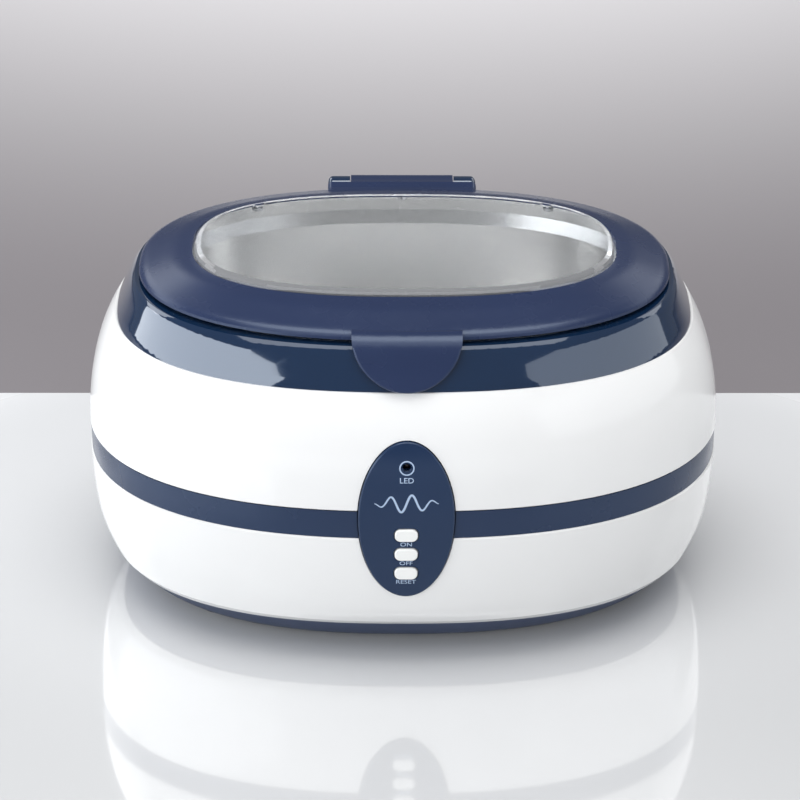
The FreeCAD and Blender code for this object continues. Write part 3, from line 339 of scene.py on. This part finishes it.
def decal(name, mesh, tree, material, body="housing"):
    """Lays flat artwork, drawn in x and z, on the panel and gives it the thickness of ink."""
    form = bmesh.new()
    form.from_mesh(mesh)
    bmesh.ops.triangulate(form, faces=form.faces)
    long_edges = [e for e in form.edges if e.calc_length() > INK_EDGE]
    bmesh.ops.subdivide_edges(form, edges=long_edges, cuts=2)
    for v in form.verts:
        hit = tree.ray_cast(Vector((v.co.x, RAY_START, v.co.z)), Vector((0, 1, 0)))[0]
        v.co.y = hit.y - INK_LIFT
    whole = bmesh.ops.extrude_face_region(form, geom=form.faces[:])
    for v in (g for g in whole["geom"] if isinstance(g, bmesh.types.BMVert)):
        v.co.y += INK_DEPTH
    bmesh.ops.recalc_face_normals(form, faces=form.faces)
    out = bpy.data.meshes.new(name)
    form.to_mesh(out)
    form.free()
    out.materials.append(material)
    piece = bpy.data.objects.new(name, out)
    bpy.context.scene.collection.objects.link(piece)
    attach(piece, body)
    return piece


def text_mesh(text, height, x, z, stretch=1.0):
    """Plain lettering as a flat mesh in the x, z plane, centred on x, z."""
    curve = bpy.data.curves.new(text, "FONT")
    curve.body = text
    curve.size = height / CAPITAL
    curve.align_x = "CENTER"
    curve.align_y = "CENTER"
    curve.offset = BOLDNESS * height
    curve.resolution_u = 4
    holder = bpy.data.objects.new(text, curve)
    bpy.context.scene.collection.objects.link(holder)
    bpy.context.view_layer.update()
    mesh = bpy.data.meshes.new_from_object(holder)
    bpy.data.objects.remove(holder)
    for v in mesh.vertices:
        v.co = Vector((v.co.x * stretch + x, 0.0, v.co.y + z))
    return mesh


def ring_mesh(x, z, inner, outer, steps=48):
    """Flat ring in the x, z plane."""
    form = bmesh.new()
    loops = []
    for radius in (inner, outer):
        loops.append([form.verts.new((x + radius * math.cos(a), 0, z + radius * math.sin(a)))
                      for a in (2 * math.pi * i / steps for i in range(steps))])
    for i in range(steps):
        j = (i + 1) % steps
        form.faces.new((loops[0][i], loops[0][j], loops[1][j], loops[1][i]))
    mesh = bpy.data.meshes.new("ring")
    form.to_mesh(mesh)
    form.free()
    return mesh


def swing_at(t):
    """The wave's height and its envelope at t, which runs from -1 to 1, left to right."""
    envelope = math.cos(t * math.pi / 2) ** WAVE_TAPER if abs(t) < 1 else 0.0
    return envelope * math.sin(WAVE_SWINGS * math.pi * t), envelope


def wave_mesh(z, half, swing, thick, steps=96):
    """Generic sound wave: swings that grow to the middle, drawn as a tapering stroke."""
    ahead = 0.01        # step along t that gives the stroke's direction
    nudge = 1e-9        # keeps that direction defined at the right end
    form = bmesh.new()
    upper = []
    lower = []
    for i in range(steps + 1):
        t = -1 + 2 * i / steps
        t_next = min(1.0, t + ahead)
        height, envelope = swing_at(t)
        height_next = swing_at(t_next)[0]
        along = Vector((half * (t_next - t) + nudge, 0, swing * (height_next - height)))
        along.normalize()
        share = WAVE_THINNEST + (1 - WAVE_THINNEST) * envelope
        side = Vector((-along.z, 0, along.x)) * thick * share / 2
        centre = Vector((half * t, 0, z + swing * height))
        upper.append(form.verts.new(centre + side))
        lower.append(form.verts.new(centre - side))
    for i in range(steps):
        form.faces.new((lower[i], lower[i + 1], upper[i + 1], upper[i]))
    mesh = bpy.data.meshes.new("wave")
    form.to_mesh(mesh)
    form.free()
    return mesh


def panel_legends(material):
    """Light ring, wave mark and the plain words under each control."""
    tree = surface_tree("control_panel")
    low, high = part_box("power_led")
    led_z = (low.z + high.z) / 2
    decal("led_ring", ring_mesh(0, led_z, inner=1.95 * MM, outer=2.35 * MM), tree, material)
    label = text_mesh("LED", 1.75 * MM, 0, led_z - LED_LABEL_DROP, stretch=1.05)
    decal("label_led", label, tree, material)
    wave = wave_mesh(led_z - WAVE_DROP, half=9.9 * MM, swing=3.0 * MM, thick=0.7 * MM)
    decal("wave_mark", wave, tree, material)
    for word in ("on", "off", "reset"):
        low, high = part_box("plunger_" + word)
        z = (low.z + high.z) / 2
        label = text_mesh(word.upper(), 1.4 * MM, 0, z - WORD_DROP, stretch=1.2)
        decal("label_" + word, label, tree, material)


# Stage
def stage_material():
    """Pale table, glossy around the object, with painted light that makes it lighter far away, and
    a grey backdrop beyond it that has a painted glow.
    """
    mat, tree, shader, coords = new_material("stage")
    split = tree.nodes.new("ShaderNodeSeparateXYZ")
    tree.links.new(coords, split.inputs["Vector"])
    beyond = tree.nodes.new("ShaderNodeMath")
    beyond.operation = "GREATER_THAN"
    beyond.inputs[1].default_value = TABLE_EDGE
    tree.links.new(split.outputs["Y"], beyond.inputs[0])
    distance = tree.nodes.new("ShaderNodeVectorMath")
    distance.operation = "DISTANCE"
    distance.inputs[1].default_value = BACKDROP_GLOW_CENTRE
    tree.links.new(coords, distance.inputs[0])
    # painted glow on the backdrop, fading to grey away from its centre
    fade = spread(tree, distance.outputs["Value"], 1.0, 0.0, *BACKDROP_GLOW_RADII)
    backdrop = tint(tree, fade, BACKDROP_DARK, BACKDROP_PAINTED_GLOW)
    mix = tree.nodes.new("ShaderNodeMix")
    mix.data_type = "RGBA"
    # painted light: the table turns lighter with distance from the front
    depth = spread(tree, split.outputs["Y"], 0.0, 1.0, *TABLE_PAINTED_LIGHT_FADE)
    tree.links.new(tint(tree, depth, TABLE_NEAR_PAINTED_SHADE, TABLE_FAR_PAINTED_LIGHT), mix.inputs["A"])
    tree.links.new(beyond.outputs["Value"], mix.inputs["Factor"])
    tree.links.new(backdrop, mix.inputs["B"])
    tree.links.new(mix.outputs["Result"], shader.inputs["Base Color"])
    near = tree.nodes.new("ShaderNodeVectorMath")
    near.operation = "DISTANCE"
    near.inputs[1].default_value = GLOSS_CENTRE
    tree.links.new(coords, near.inputs[0])
    dull = tree.nodes.new("ShaderNodeMath")
    dull.operation = "MAXIMUM"
    tree.links.new(spread(tree, near.outputs["Value"], 0.0, 1.0, *GLOSS_RADII), dull.inputs[0])
    tree.links.new(beyond.outputs["Value"], dull.inputs[1])
    shader.inputs["IOR"].default_value = 1.6
    shader.inputs["Coat IOR"].default_value = 1.9
    shader.inputs["Coat Roughness"].default_value = 0.04
    for socket, glossy, matt in (("Specular IOR Level", 0.5, 0.15), ("Coat Weight", 1.0, 0.0),
                                 ("Roughness", 0.10, 0.55)):
        tree.links.new(spread(tree, dull.outputs["Value"], glossy, matt, 0, 1),
                       shader.inputs[socket])
    return mat


def build_stage():
    mesh = bpy.data.meshes.new("stage")
    half = STAGE_SIZE / 2
    corners = [(-half, -half, 0), (half, -half, 0), (half, half, 0), (-half, half, 0)]
    mesh.from_pydata(corners, [], [(0, 1, 2, 3)])
    mesh.materials.append(stage_material())
    floor = bpy.data.objects.new("stage", mesh)
    bpy.context.scene.collection.objects.link(floor)


def around(azimuth, elevation, distance):
    """Place at that distance from MIDDLE; azimuth 0 is in front of the panel, 90 to its right."""
    a = math.radians(azimuth)
    e = math.radians(elevation)
    return (distance * math.sin(a) * math.cos(e), -distance * math.cos(a) * math.cos(e),
            MIDDLE[2] + distance * math.sin(e))


def softbox(name, azimuth, elevation, distance, width, height, power, mirrored, colour):
    """Rectangular lamp; a fill that isn't mirrored leaves no shine on glossy parts."""
    place = around(azimuth, elevation, distance)
    data = bpy.data.lights.new(name, "AREA")
    data.shape = "RECTANGLE"
    data.size = width
    data.size_y = height
    data.energy = power
    data.color = colour
    lamp = bpy.data.objects.new(name, data)
    bpy.context.scene.collection.objects.link(lamp)
    lamp.visible_glossy = mirrored
    lamp.location = place
    lamp.rotation_euler = (Vector(MIDDLE) - Vector(place)).to_track_quat("-Z", "Y").to_euler()


def build_lights():
    world = bpy.data.worlds.new("studio")
    world.use_nodes = True
    background = world.node_tree.nodes["Background"]
    background.inputs["Color"].default_value = (*SKY, 1)
    background.inputs["Strength"].default_value = SKY_STRENGTH
    bpy.context.scene.world = world
    for lamp in LAMPS:
        softbox(*lamp)


def build_camera():
    data = bpy.data.cameras.new("camera")
    data.lens = CAMERA_LENS
    data.sensor_width = CAMERA_SENSOR
    camera = bpy.data.objects.new("camera", data)
    bpy.context.scene.collection.objects.link(camera)
    flat = math.cos(CAMERA_ELEVATION)
    away = Vector((math.sin(CAMERA_AZIMUTH) * flat, -math.cos(CAMERA_AZIMUTH) * flat,
                   math.sin(CAMERA_ELEVATION)))
    camera.location = CAMERA_TARGET + away * CAMERA_DISTANCE
    turn = (-away).to_track_quat("-Z", "Y").to_matrix().to_4x4()
    turn = turn @ Matrix.Rotation(CAMERA_ROLL, 4, "Z")
    camera.rotation_euler = turn.to_euler()
    bpy.context.scene.camera = camera


bpy.context.scene.view_settings.view_transform = "Standard"
build_camera()
build_lights()
build_stage()
finishes = node_materials()
panel_legends(finishes["legend_ink"])
